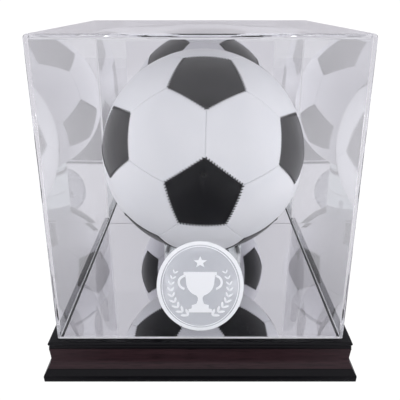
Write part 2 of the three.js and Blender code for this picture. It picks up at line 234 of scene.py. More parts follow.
def card_material():
    """Painted shade: dark near the case, and fading into the paper towards the far end and both sides."""
    material, output = new_material("painted_shade_card")
    tree = material.node_tree
    place = split_place(tree)
    width = calculate(tree, "ABSOLUTE", place["X"], 0.0)
    along = remap(tree, place["Y"], CARD_FADE, CARD_END, 0.0, 1.0)
    across = remap(tree, width, CARD_CORE, CARD_HALF, 0.0, 1.0)
    faded = calculate(tree, "MAXIMUM", along, across)
    matt = add_node(tree, "ShaderNodeBsdfDiffuse", {
        "Color": blend_colours(tree, faded, CARD_SHADE, FLOOR_PAPER),
    })
    link(tree, matt.outputs[0], output.inputs["Surface"])
    return material


def build_card():
    """A matt sheet of painted shade that every ray meets except the camera's own."""
    far_side = [(-CARD_HALF, CARD_END), (CARD_HALF, CARD_END)]
    corners = far_side + [(CARD_HALF, CARD_START), (-CARD_HALF, CARD_START)]
    mesh = bpy.data.meshes.new("painted_shade_card")
    mesh.from_pydata([(x, y, 0.0002) for x, y in corners], [], [(0, 1, 2, 3)])
    card = new_object("painted_shade_card", mesh)
    card.visible_camera = False
    mesh.materials.append(card_material())
    return card


card = build_card()
print("card from", CARD_START, "to", CARD_END)

# %% Light
STUDIO_WHITE = (0.80, 0.79, 0.82)
OVERHEAD_GREY = (0.76, 0.75, 0.785)


def build_world():
    """White to the camera. To everything else, a white room that is greyer overhead."""
    world = bpy.data.worlds.new("studio")
    world.use_nodes = True
    tree = world.node_tree
    tree.nodes.clear()
    output = add_node(tree, "ShaderNodeOutputWorld")
    way = add_node(tree, "ShaderNodeTexCoord")
    parts = add_node(tree, "ShaderNodeSeparateXYZ", {0: way.outputs["Generated"]})
    height = remap(tree, parts.outputs["Z"], 0.35, 0.9, 0.0, 1.0)
    room = add_node(tree, "ShaderNodeBackground", {
        "Color": blend_colours(tree, height, STUDIO_WHITE, OVERHEAD_GREY),
    })
    white = add_node(tree, "ShaderNodeBackground", {"Color": (1, 1, 1, 1), "Strength": CAMERA_WHITE})
    show_to_camera(tree, room.outputs[0], white.outputs[0], output.inputs[0])
    bpy.context.scene.world = world


def add_softbox(name, place, aim, size, power):
    """A square area light at a place, turned to face a point. Mirrors and clear walls don't show it."""
    data = bpy.data.lights.new(name, "AREA")
    data.size = size
    data.energy = power
    lamp = new_object(name, data)
    lamp.location = place
    lamp.rotation_euler = (Vector(aim) - Vector(place)).to_track_quat("-Z", "Y").to_euler()
    lamp.visible_glossy = False
    lamp.visible_transmission = False
    return lamp


build_world()
add_softbox("left_softbox", (-1.3, -0.9, 0.06), (0, 0, 0.15), 0.7, 17)
add_softbox("right_softbox", (1.3, -0.9, 0.06), (0, 0, 0.15), 0.7, 20)

# %% [markdown]
# ## Shared finishes
# Some effects show on more than one material, so each is a node group that is built once: the pebbled
# grain of coated leather, the faint orange peel and dust of sprayed lacquer, the streaks of timber,
# and the haze that hands leave on polished plastic. A group only puts out masks and heights, and
# each material feeds them to its own shader.


# %% Shader group helpers
def shader_group(name, inputs, outputs):
    """An empty shader node group with named sockets, and its input and output nodes."""
    tree = bpy.data.node_groups.new(name, "ShaderNodeTree")
    for label, kind, value in inputs:
        socket = tree.interface.new_socket(label, in_out="INPUT", socket_type=kind)
        if value is not None:
            socket.default_value = value
    for label in outputs:
        tree.interface.new_socket(label, in_out="OUTPUT", socket_type="NodeSocketFloat")
    return tree, tree.nodes.new("NodeGroupInput"), tree.nodes.new("NodeGroupOutput")


def noise(tree, vector, scale, detail=3.0, roughness=0.5):
    """A noise texture on a vector, with its scale in cells for each metre."""
    values = {"Vector": vector, "Scale": scale, "Detail": detail, "Roughness": roughness}
    return add_node(tree, "ShaderNodeTexNoise", values).outputs[0]


# %% Leather grain
def build_leather_grain():
    """Small rounded cells with creases between them, and slow blotches of handling."""
    sockets = [("Vector", "NodeSocketVector", None), ("Cells", "NodeSocketFloat", 900.0)]
    tree, given, result = shader_group("leather_grain", sockets, ["Height", "Blotch"])
    cells = add_node(tree, "ShaderNodeTexVoronoi", {
        "Randomness": 0.9,
        "Vector": given.outputs["Vector"],
        "Scale": given.outputs["Cells"],
    }, feature="SMOOTH_F1")
    pebbles = remap(tree, cells.outputs["Distance"], 0.1, 0.75, 1.0, 0.0)
    fine = noise(tree, given.outputs["Vector"], 2600.0, 2.0)
    height = calculate(tree, "ADD", pebbles, calculate(tree, "MULTIPLY", fine, 0.35))
    blotch = noise(tree, given.outputs["Vector"], 22.0, 4.0, 0.6)
    link(tree, height, result.inputs["Height"])
    link(tree, remap(tree, blotch, 0.35, 0.7, 0.0, 1.0), result.inputs["Blotch"])
    return tree


leather_grain = build_leather_grain()


# %% Lacquer skin
def build_lacquer_skin():
    """The soft ripple of sprayed lacquer, specks of dust and hairline rubs."""
    sockets = [("Vector", "NodeSocketVector", None)]
    tree, given, result = shader_group("lacquer_skin", sockets, ["Ripple", "Dust", "Rubs"])
    ripple = noise(tree, given.outputs["Vector"], 260.0, 1.0)
    specks = noise(tree, given.outputs["Vector"], 1900.0, 2.0)
    area = noise(tree, given.outputs["Vector"], 14.0, 3.0)
    dust = calculate(tree, "MULTIPLY", remap(tree, specks, 0.64, 0.74, 0.0, 1.0), area)
    stretch = add_node(tree, "ShaderNodeMapping", {
        "Scale": (0.06, 1.0, 1.0), "Rotation": (0, 0, 0.5),
        "Vector": given.outputs["Vector"],
    })
    rubs = noise(tree, stretch.outputs[0], 800.0, 3.0, 0.7)
    link(tree, ripple, result.inputs["Ripple"])
    link(tree, dust, result.inputs["Dust"])
    link(tree, remap(tree, rubs, 0.5, 0.72, 0.0, 1.0), result.inputs["Rubs"])
    return tree


lacquer_skin = build_lacquer_skin()


# %% Timber grain
def build_timber_grain():
    """Long wavering streaks, darker pores and slow bands, all drawn out along the first axis."""
    sockets = [("Vector", "NodeSocketVector", None), ("Draw", "NodeSocketFloat", 0.05)]
    tree, given, result = shader_group("timber_grain", sockets, ["Streaks", "Pores", "Bands"])
    scale = add_node(tree, "ShaderNodeCombineXYZ", {"Y": 1.0, "Z": 1.0, "X": given.outputs["Draw"]})
    drawn = add_node(tree, "ShaderNodeVectorMath", {
        0: given.outputs["Vector"],
        1: scale.outputs[0],
    }, operation="MULTIPLY")
    streaks = noise(tree, drawn.outputs[0], 420.0, 6.0, 0.62)
    pores = noise(tree, drawn.outputs[0], 1700.0, 2.0, 0.5)
    bands = noise(tree, drawn.outputs[0], 60.0, 2.0, 0.5)
    link(tree, remap(tree, streaks, 0.3, 0.7, 0.0, 1.0), result.inputs["Streaks"])
    link(tree, remap(tree, pores, 0.56, 0.68, 0.0, 1.0), result.inputs["Pores"])
    link(tree, remap(tree, bands, 0.35, 0.65, 0.0, 1.0), result.inputs["Bands"])
    return tree


timber_grain = build_timber_grain()


# %% Handling haze
def build_handling_haze():
    """Faint smears on polished plastic."""
    sockets = [("Vector", "NodeSocketVector", None)]
    tree, given, result = shader_group("handling_haze", sockets, ["Smears"])
    smears = noise(tree, given.outputs["Vector"], 18.0, 5.0, 0.65)
    link(tree, remap(tree, smears, 0.52, 0.8, 0.0, 1.0), result.inputs["Smears"])
    return tree


handling_haze = build_handling_haze()
print("shader groups:", [g.name for g in bpy.data.node_groups])


# %% [markdown]
# ## Materials
# Each finish has its own function. Anything that is the same all over is typed on the shader's own
# socket. Anything that varies, such as grain or dust, comes from the groups above.


# %% Material helpers
def use_group(tree, group, vector, **values):
    """Places a shader group on a vector and sets its other inputs."""
    node = add_node(tree, "ShaderNodeGroup", {"Vector": vector}, node_tree=group)
    for label, value in values.items():
        node.inputs[label].default_value = value
    return node


def add_bump(tree, shader, height, depth, strength=1.0):
    """Feeds a height, in parts of a depth in metres, to a shader's normal."""
    bump = add_node(tree, "ShaderNodeBump", {"Strength": strength, "Distance": depth, "Height": height})
    link(tree, bump.outputs[0], shader.inputs["Normal"])


def add_principled(tree, output, **values):
    """A Principled shader joined to the output, with constants on its own sockets."""
    shader = add_node(tree, "ShaderNodeBsdfPrincipled")
    for label, value in values.items():
        shader.inputs[label.replace("_", " ")].default_value = value
    link(tree, shader.outputs[0], output.inputs["Surface"])
    return shader


# %% Leather
def leather_material(name, light, dark, roughness, sheen, ior):
    """Coated leather: pebbled grain, with blotches that change its colour and gloss a little."""
    material, output = new_material(name)
    tree = material.node_tree
    shader = add_principled(tree, output, Sheen_Weight=sheen, Sheen_Roughness=0.4, IOR=ior)
    grain = use_group(tree, leather_grain, object_vector(tree), Cells=850.0)
    link(tree, blend_colours(tree, grain.outputs["Blotch"], light, dark), shader.inputs["Base Color"])
    gloss = remap(tree, grain.outputs["Blotch"], 0.0, 1.0, roughness, roughness + 0.08)
    link(tree, gloss, shader.inputs["Roughness"])
    add_bump(tree, shader, grain.outputs["Height"], 0.00006, 0.5)
    return material


white_leather = leather_material("white_leather", (0.80, 0.80, 0.83), (0.76, 0.765, 0.80), 0.42, 0.05, 1.48)
black_leather = leather_material("black_leather", (0.005, 0.005, 0.006), (0.008, 0.008, 0.009), 0.28, 0, 1.36)


# %% Thread and rubber
def thread_material():
    """Waxed black thread: fine twist across the strand."""
    material, output = new_material("waxed_thread")
    tree = material.node_tree
    shader = add_principled(tree, output, Roughness=0.6, Sheen_Weight=0.2, IOR=1.5)
    twist = noise(tree, object_vector(tree), 3500.0, 2.0)
    tone = blend_colours(tree, twist, (0.004, 0.004, 0.005), (0.010, 0.010, 0.012))
    link(tree, tone, shader.inputs["Base Color"])
    add_bump(tree, shader, twist, 0.0001, 0.4)
    return material


def rubber_material(name, light, dark, roughness):
    """Moulded rubber with a slightly uneven, dusty skin."""
    material, output = new_material(name)
    tree = material.node_tree
    shader = add_principled(tree, output, IOR=1.52)
    vector = object_vector(tree)
    cloud = noise(tree, vector, 90.0, 5.0, 0.6)
    link(tree, blend_colours(tree, cloud, light, dark), shader.inputs["Base Color"])
    link(tree, remap(tree, cloud, 0.3, 0.7, roughness, roughness + 0.15), shader.inputs["Roughness"])
    add_bump(tree, shader, noise(tree, vector, 1500.0, 2.0), 0.00005, 0.5)
    return material


thread = thread_material()
valve_rubber = rubber_material("valve_rubber", (0.003, 0.003, 0.003), (0.006, 0.006, 0.006), 0.5)
latex = rubber_material("latex", (0.30, 0.23, 0.16), (0.22, 0.17, 0.12), 0.55)


# %% Wood finishes
def black_lacquer_material():
    """Satin black lacquer over close-grained board."""
    material, output = new_material("black_lacquer")
    tree = material.node_tree
    shader = add_principled(tree, output, IOR=1.25)
    vector = object_vector(tree)
    skin = use_group(tree, lacquer_skin, vector)
    tone = blend_colours(tree, noise(tree, vector, 40.0), (0.0035, 0.0034, 0.0045), (0.0055, 0.0053, 0.0066))
    dusty = blend_colours(tree, skin.outputs["Dust"], tone, (0.03, 0.03, 0.032))
    link(tree, dusty, shader.inputs["Base Color"])
    link(tree, remap(tree, skin.outputs["Rubs"], 0.0, 1.0, 0.30, 0.42), shader.inputs["Roughness"])
    add_bump(tree, shader, skin.outputs["Ripple"], 0.00005, 0.35)
    return material


def mahogany_material():
    """Dark red-brown stain over streaky timber, under satin lacquer. The grain follows the UV map."""
    material, output = new_material("mahogany")
    tree = material.node_tree
    shader = add_principled(tree, output, Coat_Weight=0.05, Coat_Roughness=0.15, IOR=1.3)
    vector = add_node(tree, "ShaderNodeUVMap", uv_map="grain").outputs[0]
    grain = use_group(tree, timber_grain, vector, Draw=0.035)
    skin = use_group(tree, lacquer_skin, vector)
    stain = blend_colours(tree, grain.outputs["Bands"], (0.026, 0.0120, 0.0150), (0.038, 0.0190, 0.0225))
    streaked = blend_colours(tree, grain.outputs["Streaks"], stain, (0.017, 0.0092, 0.0115))
    pored = blend_colours(tree, grain.outputs["Pores"], streaked, (0.008, 0.004, 0.005))
    link(tree, pored, shader.inputs["Base Color"])
    link(tree, remap(tree, skin.outputs["Rubs"], 0.0, 1.0, 0.30, 0.44), shader.inputs["Roughness"])
    add_bump(tree, shader, grain.outputs["Pores"], -0.00004, 0.6)
    return material


def raw_timber_material(name, light, dark, draw):
    """Unfinished wood: streaks and saw fuzz, with no gloss."""
    material, output = new_material(name)
    tree = material.node_tree
    shader = add_principled(tree, output, Roughness=0.85, IOR=1.45)
    vector = object_vector(tree)
    grain = use_group(tree, timber_grain, vector, Draw=draw)
    tone = blend_colours(tree, grain.outputs["Streaks"], light, dark)
    link(tree, tone, shader.inputs["Base Color"])
    add_bump(tree, shader, grain.outputs["Pores"], 0.0002, 0.5)
    return material


black_lacquer = black_lacquer_material()
mahogany = mahogany_material()
pine = raw_timber_material("pine", (0.52, 0.33, 0.15), (0.36, 0.21, 0.085), 0.08)
hardboard = raw_timber_material("hardboard", (0.13, 0.068, 0.032), (0.085, 0.042, 0.02), 0.9)


# %% [markdown]
# Clear acrylic is a Principled shader with full transmission. Real lamps shine through a clear wall
# without a hard shadow, and a path tracer finds that light hard to trace, so shadow rays alone meet
# a plain Transparent shader instead. A wall's polished edges also trap light, which turns round and
# round inside and comes out nearly black. A ray that has already been reflected twice is let out.


# %% Acrylic
MOST_TURNS = 1


def acrylic_material(name, tint, roughness):
    """Clear acrylic that lets out shadow rays, and rays that keep turning inside it."""
    material, output = new_material(name)
    tree = material.node_tree
    shader = add_principled(tree, output, Transmission_Weight=1.0, IOR=1.49)
    shader.inputs["Base Color"].default_value = (*tint, 1)
    haze = use_group(tree, handling_haze, object_vector(tree))
    hazy = remap(tree, haze.outputs["Smears"], 0.0, 1.0, roughness, roughness + 0.03)
    link(tree, hazy, shader.inputs["Roughness"])
    clear = add_node(tree, "ShaderNodeBsdfTransparent", {"Color": (*tint, 1)})
    path = add_node(tree, "ShaderNodeLightPath")
    turned_enough = calculate(tree, "GREATER_THAN", path.outputs["Glossy Depth"], MOST_TURNS + 0.5)
    inside = add_node(tree, "ShaderNodeNewGeometry").outputs["Backfacing"]
    trapped = calculate(tree, "MULTIPLY", turned_enough, inside)
    surface = shader.outputs[0]
    for let_through in (trapped, path.outputs["Is Shadow Ray"]):
        mix = add_node(tree, "ShaderNodeMixShader", {0: let_through, 1: surface, 2: clear.outputs[0]})
        surface = mix.outputs[0]
    link(tree, surface, output.inputs["Surface"])
    return material


def frosted_material(name, colour, alpha, roughness):
    """Frosted film: white where it scatters light, and only partly see-through."""
    material, output = new_material(name)
    tree = material.node_tree
    shader = add_principled(tree, output, Alpha=alpha, Roughness=roughness, IOR=1.49)
    vector = object_vector(tree)
    grit = noise(tree, vector, 2400.0, 2.0)
    tone = blend_colours(tree, grit, colour, tuple(c * 0.96 for c in colour))
    link(tree, tone, shader.inputs["Base Color"])
    add_bump(tree, shader, grit, 0.00004, 0.4)
    return material


clear_acrylic = acrylic_material("clear_acrylic", (0.985, 0.99, 0.995), 0.0)
ring_acrylic = acrylic_material("ring_acrylic", (0.96, 0.985, 0.98), 0.01)
sawn_rim = frosted_material("sawn_rim", (0.96, 0.96, 0.98), 1.0, 0.5)
frosted_white = frosted_material("frosted_white", (0.90, 0.92, 0.95), 0.9, 0.6)
frosted_clear = frosted_material("frosted_clear", (0.72, 0.74, 0.79), 0.44, 0.6)


# %% [markdown]
# An acrylic mirror is silvered on one face only. The material looks at which way each face points:
# the face towards the viewer is bright metal, and the rest is the grey paint that seals the silver.


# %% Mirrors
def mirror_material(name, axis, sign):
    """Silver on the face that points along an axis, grey paint behind it and pale cut edges."""
    material, output = new_material(name)
    tree = material.node_tree
    shader = add_principled(tree, output, IOR=1.5)
    geometry = add_node(tree, "ShaderNodeNewGeometry")
    split = add_node(tree, "ShaderNodeSeparateXYZ", {0: geometry.outputs["Normal"]})
    facing = remap(tree, split.outputs[axis], 0.45 * sign, 0.55 * sign, 0.0, 1.0)
    backed = remap(tree, split.outputs[axis], -0.45 * sign, -0.55 * sign, 0.0, 1.0)
    vector = object_vector(tree)
    paint = blend_colours(tree, noise(tree, vector, 120.0), (0.22, 0.23, 0.24), (0.27, 0.28, 0.29))
    rest = blend_colours(tree, backed, (0.78, 0.78, 0.81), paint)
    link(tree, blend_colours(tree, facing, rest, (0.88, 0.875, 0.89)), shader.inputs["Base Color"])
    link(tree, facing, shader.inputs["Metallic"])
    haze = use_group(tree, handling_haze, vector)
    polished = remap(tree, haze.outputs["Smears"], 0.0, 1.0, 0.012, 0.04)
    dull = calculate(tree, "MULTIPLY", calculate(tree, "SUBTRACT", 1.0, facing), 0.5)
    link(tree, calculate(tree, "ADD", polished, dull), shader.inputs["Roughness"])
    return material


floor_silver = mirror_material("floor_silver", "Z", 1)
back_silver = mirror_material("back_silver", "Y", -1)


# %% Tape and felt
def soft_material(name, light, dark, cells, depth):
    """A soft surface of small cells or fibres, such as foam tape or felt."""
    material, output = new_material(name)
    tree = material.node_tree
    shader = add_principled(tree, output, Roughness=0.95, Sheen_Weight=0.3, Sheen_Roughness=0.6)
    fuzz = noise(tree, object_vector(tree), cells, 4.0, 0.7)
    link(tree, blend_colours(tree, fuzz, light, dark), shader.inputs["Base Color"])
    add_bump(tree, shader, fuzz, depth, 0.8)
    return material


foam_tape = soft_material("foam_tape", (0.80, 0.80, 0.77), (0.66, 0.66, 0.63), 1400.0, 0.0002)
felt = soft_material("felt", (0.006, 0.006, 0.006), (0.02, 0.02, 0.02), 2200.0, 0.0004)
print("materials:", len(bpy.data.materials))


# %% [markdown]
# ## Building meshes
# Most pieces are lofts: a skin stretched over a row of closed rings. One helper makes the rings, one
# stretches the skin, and one turns points and faces into a finished piece.


# %% Mesh helpers
def full_turn(steps):
    """Evenly spaced angles all the way round."""
    return [2 * math.pi * i / steps for i in range(steps)]


def attach(piece, node, body):
    """Hides the frame node that a piece stands in for, and lets the piece ride on a body."""
    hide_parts(node)
    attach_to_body(piece, body)


def make_piece(name, points, faces, materials, sharp=None):
    """A mesh object from points and faces, with its faces turned outwards."""
    mesh = bpy.data.meshes.new(name)
    mesh.from_pydata([tuple(p) for p in points], [], faces)
    for material in materials:
        mesh.materials.append(material)
    shape = bmesh.new()
    shape.from_mesh(mesh)
    bmesh.ops.remove_doubles(shape, verts=shape.verts, dist=1e-7)
    bmesh.ops.recalc_face_normals(shape, faces=shape.faces)
    shape.to_mesh(mesh)
    shape.free()
    if sharp is not None:
        mesh.shade_smooth()
        mesh.set_sharp_from_angle(angle=math.radians(sharp))
    piece = new_object(name, mesh)
    return piece


def square_ring(half, z, radius, steps=8):
    """Points round a level square with rounded corners."""
    points = []
    for quarter in range(4):
        side_x = 1 if quarter in (0, 3) else -1
        side_y = 1 if quarter < 2 else -1
        for i in range(steps + 1):
            angle = (quarter + i / steps) * math.pi / 2
            x = side_x * (half - radius) + radius * math.cos(angle)
            y = side_y * (half - radius) + radius * math.sin(angle)
            points.append(Vector((x, y, z)))
    return points


def loft(rings, capped=True):
    """Points and faces of a skin over equal rings, with flat ends, or joined end to end."""
    count = len(rings[0])
    points = [p for ring in rings for p in ring]
    pairs = list(range(len(rings) - 1))
    faces = []
    for a in pairs + ([] if capped else [len(rings) - 1]):
        b = (a + 1) % len(rings)
        for i in range(count):
            j = (i + 1) % count
            faces.append((a * count + i, a * count + j, b * count + j, b * count + i))
    if capped:
        faces.append(tuple(range(count)))
        faces.append(tuple(range(len(points) - count, len(points))))
    return points, faces


def arc(middle_x, middle_y, radius, start, end, steps):
    """Points along an arc, from one angle in degrees to another."""
    points = []
    for i in range(steps + 1):
        angle = math.radians(start + (end - start) * i / steps)
        points.append((middle_x + radius * math.cos(angle), middle_y + radius * math.sin(angle)))
    return points


# %% [markdown]
# ## Deck board
# The deck is one black board with a moulded rim: a half-round bead, a small quirk under it, and a
# fillet above the rail. A mirror lies in its recess, and the cover's rim stands in the rebate round
# the mirror. It is a loft of squares, from the underside, round the rim and into the recess.

# %% Deck board
deck_low, deck_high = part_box("deck_board")
DECK_THICKNESS = deck_high.z - deck_low.z
BEAD = 1.95


def build_deck():
    """Rim points are overhang past the cover's wall and depth below the deck's top, in millimetres."""
    bead = [(7.4 - BEAD + x, BEAD - y) for x, y in arc(0, 0, BEAD, 90, -60, 12)]
    fillet = [(6.75 - 0.9 + x, 5.4 - y) for x, y in arc(0, 0, 0.9, 60, 0, 5)]
    rim = bead + [(6.1, 4.0)] + fillet + [(6.75, 6.6), (6.55, DECK_THICKNESS / MM)]
    rings = [square_ring(COVER_HALF + out * MM, deck_top - depth * MM, 0.8 * MM, 5) for out, depth in rim]
    rings.reverse()
    rebate = COVER_HALF + 0.4 * MM
    recess = mirror_high.x + 0.3 * MM
    rings.append(square_ring(rebate, deck_top, 3 * MM, 5))
    rings.append(square_ring(rebate, deck_top - 1.2 * MM, 3 * MM, 5))
    rings.append(square_ring(recess, deck_top - 1.2 * MM, 1 * MM, 5))
    rings.append(square_ring(recess, mirror_low.z - 0.3 * MM, 1 * MM, 5))
    points, faces = loft(rings)
    return make_piece("deck", points, faces, [black_lacquer], 35)


deck = build_deck()
attach(deck, "deck_board", "base")
print("deck", len(deck.data.polygons), "faces")

# %% [markdown]
# ## Rails
# Eight rails make the base's sides: four mahogany coves and, under them, four black feet. A rail is
# one section swept along its side and cut at 45 degrees at both ends. A grain map is laid on it as
# it is built, with one axis along the rail, because the streaks of real timber follow its length.

# %% Rail sections
SIDES = ("front", "right", "back", "left")
rail_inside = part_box("bottom_panel")[1].x + 0.3 * MM
cove_low, cove_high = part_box("cove_rail_front")
foot_low, foot_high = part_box("foot_rail_front")
MITRE_GAP = 0.06 * MM


def smooth_run(knots, steps):
    """A smooth run through a few knots, by Catmull-Rom interpolation."""
    padded = [Vector(k) for k in (knots[0], *knots, knots[-1])]
    run = []
    for a, b, c, d in zip(padded, padded[1:], padded[2:], padded[3:]):
        for i in range(steps):
            t = i / steps
            bend = (2 * a - 5 * b + 4 * c - d) * t**2 + (3 * b - a - 3 * c + d) * t**3
            run.append(tuple(b + 0.5 * ((c - a) * t + bend)))
    run.append(knots[-1])
    return run


cove_height = (cove_high.z - cove_low.z) / MM
foot_height = (foot_high.z - foot_low.z) / MM
cove_face = smooth_run([(9.6, 0), (7.1, 5.0), (6.1, 9.2), (6.25, 15), (6.8, cove_height)], 6)
foot_face = (
    [(12.3, 0), (12.9, 0.35), (13.1, 1.0)]
    + smooth_run([(13.28, 6.2), (13.0, 7.5), (12.0, 8.8), (10.6, 11.2), (9.75, foot_height)], 5)
)


# %% Rail pieces
def build_rail(name, face, bottom, quarter, material):
    """Sweeps a moulding's face along one side. The face holds overhangs and heights in millimetres."""
    outline = [(COVER_HALF + out * MM, bottom + height * MM) for out, height in face]
    outline += [(rail_inside, outline[-1][1]), (rail_inside, outline[0][1])]
    count = len(outline)
    turn = Matrix.Rotation(quarter * math.pi / 2, 3, "Z")
    points = []
    for end in (-1, 1):
        points += [turn @ Vector((end * (out - MITRE_GAP), -out, z)) for out, z in outline]
    faces = [(i, (i + 1) % count, (i + 1) % count + count, i + count) for i in range(count)]
    faces += [tuple(range(count)), tuple(range(count, 2 * count))]
    piece = make_piece(name, points, faces, [material], 30)
    lay_grain(piece, turn, quarter)
    return piece


def lay_grain(piece, turn, quarter):
    """A UV map in metres: along the rail, and across it by height and depth."""
    layer = piece.data.uv_layers.new(name="grain")
    back = turn.transposed()
    for loop in piece.data.loops:
        place = back @ piece.data.vertices[loop.vertex_index].co
        layer.data[loop.index].uv = (place.x + 0.7 * quarter, place.z + 0.6 * place.y)


for quarter, side in enumerate(SIDES):
    cove = build_rail(f"cove_{side}", cove_face, cove_low.z, quarter, mahogany)
    foot = build_rail(f"foot_{side}", foot_face, foot_low.z, quarter, black_lacquer)
    attach(cove, f"cove_rail_{side}", "base")
    attach(foot, f"foot_rail_{side}", "base")
print("rails:", 2 * len(SIDES), "with", len(cove.data.polygons), "faces each")

# %% [markdown]
# ## Underside
# Four felt discs lift the base off the table. Their edges are softly rounded, as punched felt is.
# The blocks and the panel inside the base are plain sawn pieces, so they keep their own shapes.

# %% Felt pads, blocks and panel
CORNERS = ("front_left", "front_right", "back_right", "back_left")
PAD_EDGE = 0.35 * MM


def build_pad(name, low, high):
    """A felt disc with rounded edges, as a stack of circles."""
    middle = (low + high) / 2
    radius = (high.x - low.x) / 2
    levels = [(radius - PAD_EDGE, low.z), (radius, low.z + PAD_EDGE), (radius, high.z - PAD_EDGE)]
    levels.append((radius - PAD_EDGE, high.z))
    rings = []
    for size, z in levels:
        centre = Vector((middle.x, middle.y, z))
        rings.append([centre + size * Vector((math.cos(a), math.sin(a), 0)) for a in full_turn(48)])
    points, faces = loft(rings)
    return make_piece(name, points, faces, [felt], 60)


def dress(node, material):
    """Gives a kept node its material."""
    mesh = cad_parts[node].data
    mesh.materials.clear()
    mesh.materials.append(material)


for corner in CORNERS:
    pad = build_pad(f"felt_{corner}", *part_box(f"foot_pad_{corner}"))
    attach(pad, f"foot_pad_{corner}", "base")
    dress(f"corner_block_{corner}", pine)
dress("bottom_panel", hardboard)
print("pads:", len(CORNERS))

# %% [markdown]
# ## Cover
# The cover is one moulded box of 3 mm acrylic, open below. Its walls lean in a little, because a
# moulding has to slide off its tool. The loft starts under the roof, runs down the inside, across
# the rim and up the outside. Light bends sharply in its small rounded corners, so those have many
# narrow flat facets, and the walls stay perfectly flat.

# %% Cover
CORNER_RADIUS = 3 * MM
INNER_RADIUS = 1.2 * MM
RIM_BAND = 0.5 * MM


def build_cover():
    """The clear shell. Its rim, and a narrow band next to it, are left as sawn."""
    rim = cover_low.z - deck_top
    roof = cover_height - WALL
    rings = []
    for i in range(6):
        angle = i / 5 * math.pi / 2
        inset = INNER_RADIUS * (1 - math.sin(angle))
        height = roof - INNER_RADIUS * (1 - math.cos(angle))
        rings.append(square_ring(wall_half(height) - WALL - inset, deck_top + height, INNER_RADIUS))
    for height in (RIM_BAND, rim):
        rings.append(square_ring(wall_half(height) - WALL, deck_top + height, INNER_RADIUS))
    for height in (rim, RIM_BAND):
        rings.append(square_ring(wall_half(height), deck_top + height, CORNER_RADIUS))
    for i in range(9):
        angle = i / 8 * math.pi / 2
        height = cover_height - CORNER_RADIUS * (1 - math.sin(angle))
        inset = CORNER_RADIUS * (1 - math.cos(angle))
        radius = CORNER_RADIUS - 0.6 * inset
        rings.append(square_ring(wall_half(height) - inset, deck_top + height, radius))
    points, faces = loft(rings)
    piece = make_piece("cover_shell", points, faces, [clear_acrylic, sawn_rim])
    sawn_height = deck_top + RIM_BAND + 0.01 * MM
    for polygon in piece.data.polygons:
        if max(piece.data.vertices[v].co.z for v in polygon.vertices) < sawn_height:
            polygon.material_index = 1
    return piece


cover = build_cover()
attach(cover, "cover", "cover")
print("cover", len(cover.data.polygons), "faces")

# %% Mirrors and tape
dress("floor_mirror", floor_silver)
dress("back_mirror", back_silver)
for side in ("left", "right"):
    dress(f"mirror_tape_{side}", foam_tape)
print("mirrors dressed")

# %% [markdown]
# ## Ring
# The ball stands on a short length of clear tube with polished edges. It is turned: a small section
# with rounded corners is carried round the ring's axis.

# %% Ring
RING_BORE = 43 * MM
RING_EDGE = 0.7 * MM


def build_ring():
    """A closed section, in radius and height, carried round 128 places."""
    outer = (ring_high.x - ring_low.x) / 2
    corners = [
        (RING_BORE, ring_low.z, 1, 1, 180),
        (outer, ring_low.z, -1, 1, 270),
        (outer, ring_high.z, -1, -1, 0),
        (RING_BORE, ring_high.z, 1, -1, 90),
    ]
    section = []
    for x, z, side_x, side_z, start in corners:
        section += arc(x + side_x * RING_EDGE, z + side_z * RING_EDGE, RING_EDGE, start, start + 90, 5)
    rings = []
    for angle in full_turn(128):
        direction = Vector((math.cos(angle), math.sin(angle), 0))
        base = Vector((ring_middle.x, ring_middle.y, 0))
        rings.append([base + direction * radius + Vector((0, 0, z)) for radius, z in section])
    points, faces = loft(rings, capped=False)
    return make_piece("ring", points, faces, [ring_acrylic], 40)


ring = build_ring()
attach(ring, "ball_ring", "base")
print("ring", len(ring.data.polygons), "faces")

# %% [markdown]
# ## Football panels
# A classic ball has 12 pentagons and 20 hexagons. The pentagons' middles point at the corners of an
# icosahedron, and every panel corner lies a third of the way from one pentagon to the next. Each
# panel is a polar grid from its middle to its seams, so its rings run parallel to the edges and can
# be lowered one by one: the panel is puffed, and its edge rolls down into the seam.

# %% Panel directions
BALL_TILT = Euler((0.1066, 0.0354, 0.002)).to_matrix()
SPREAD = math.atan(2)


def pentagon_directions():
    """The first pentagon faces the front, and the second is straight above it."""
    directions = [Vector((0, -1, 0))]
    for tilt, turn in ((SPREAD, 0.0), (math.pi - SPREAD, 0.5)):
        for k in range(5):
            around = (k + turn) / 5 * 2 * math.pi
            across = math.sin(tilt)
            directions.append(Vector((across * math.sin(around), -math.cos(tilt), across * math.cos(around))))
    directions.append(Vector((0, 1, 0)))
    return [BALL_TILT @ d for d in directions]


pentagons = pentagon_directions()


def are_neighbours(a, b):
    """True for two pentagons that one seam joins."""
    return a != b and pentagons[a].dot(pentagons[b]) > 0.4


def seam_corner(a, b):
    """The corner of pentagon a that points at pentagon b."""
    return (2 * pentagons[a] + pentagons[b]).normalized()


def sort_around(corners, middle):
    """Puts directions in order round a middle one."""
    first = (corners[0] - middle * corners[0].dot(middle)).normalized()
    across = middle.cross(first)
    return sorted(corners, key=lambda c: math.atan2(c.dot(across), c.dot(first)))


def panel_list():
    """Each panel's node name, middle direction and corners, in the frame's order."""
    panels = []
    for a, middle in enumerate(pentagons):
        corners = [seam_corner(a, b) for b in range(12) if are_neighbours(a, b)]
        panels.append((f"pentagon_{a + 1:02d}", middle, sort_around(corners, middle)))
    count = 0
    for a in range(12):
        for b in range(a + 1, 12):
            for c in range(b + 1, 12):
                if are_neighbours(a, b) and are_neighbours(b, c) and are_neighbours(a, c):
                    count += 1
                    middle = (pentagons[a] + pentagons[b] + pentagons[c]).normalized()
                    pairs = ((a, b), (b, a), (b, c), (c, b), (c, a), (a, c))
                    corners = sort_around([seam_corner(p, q) for p, q in pairs], middle)
                    panels.append((f"hexagon_{count:02d}", middle, corners))
    return panels


panels = panel_list()
print("panels:", len(panels))

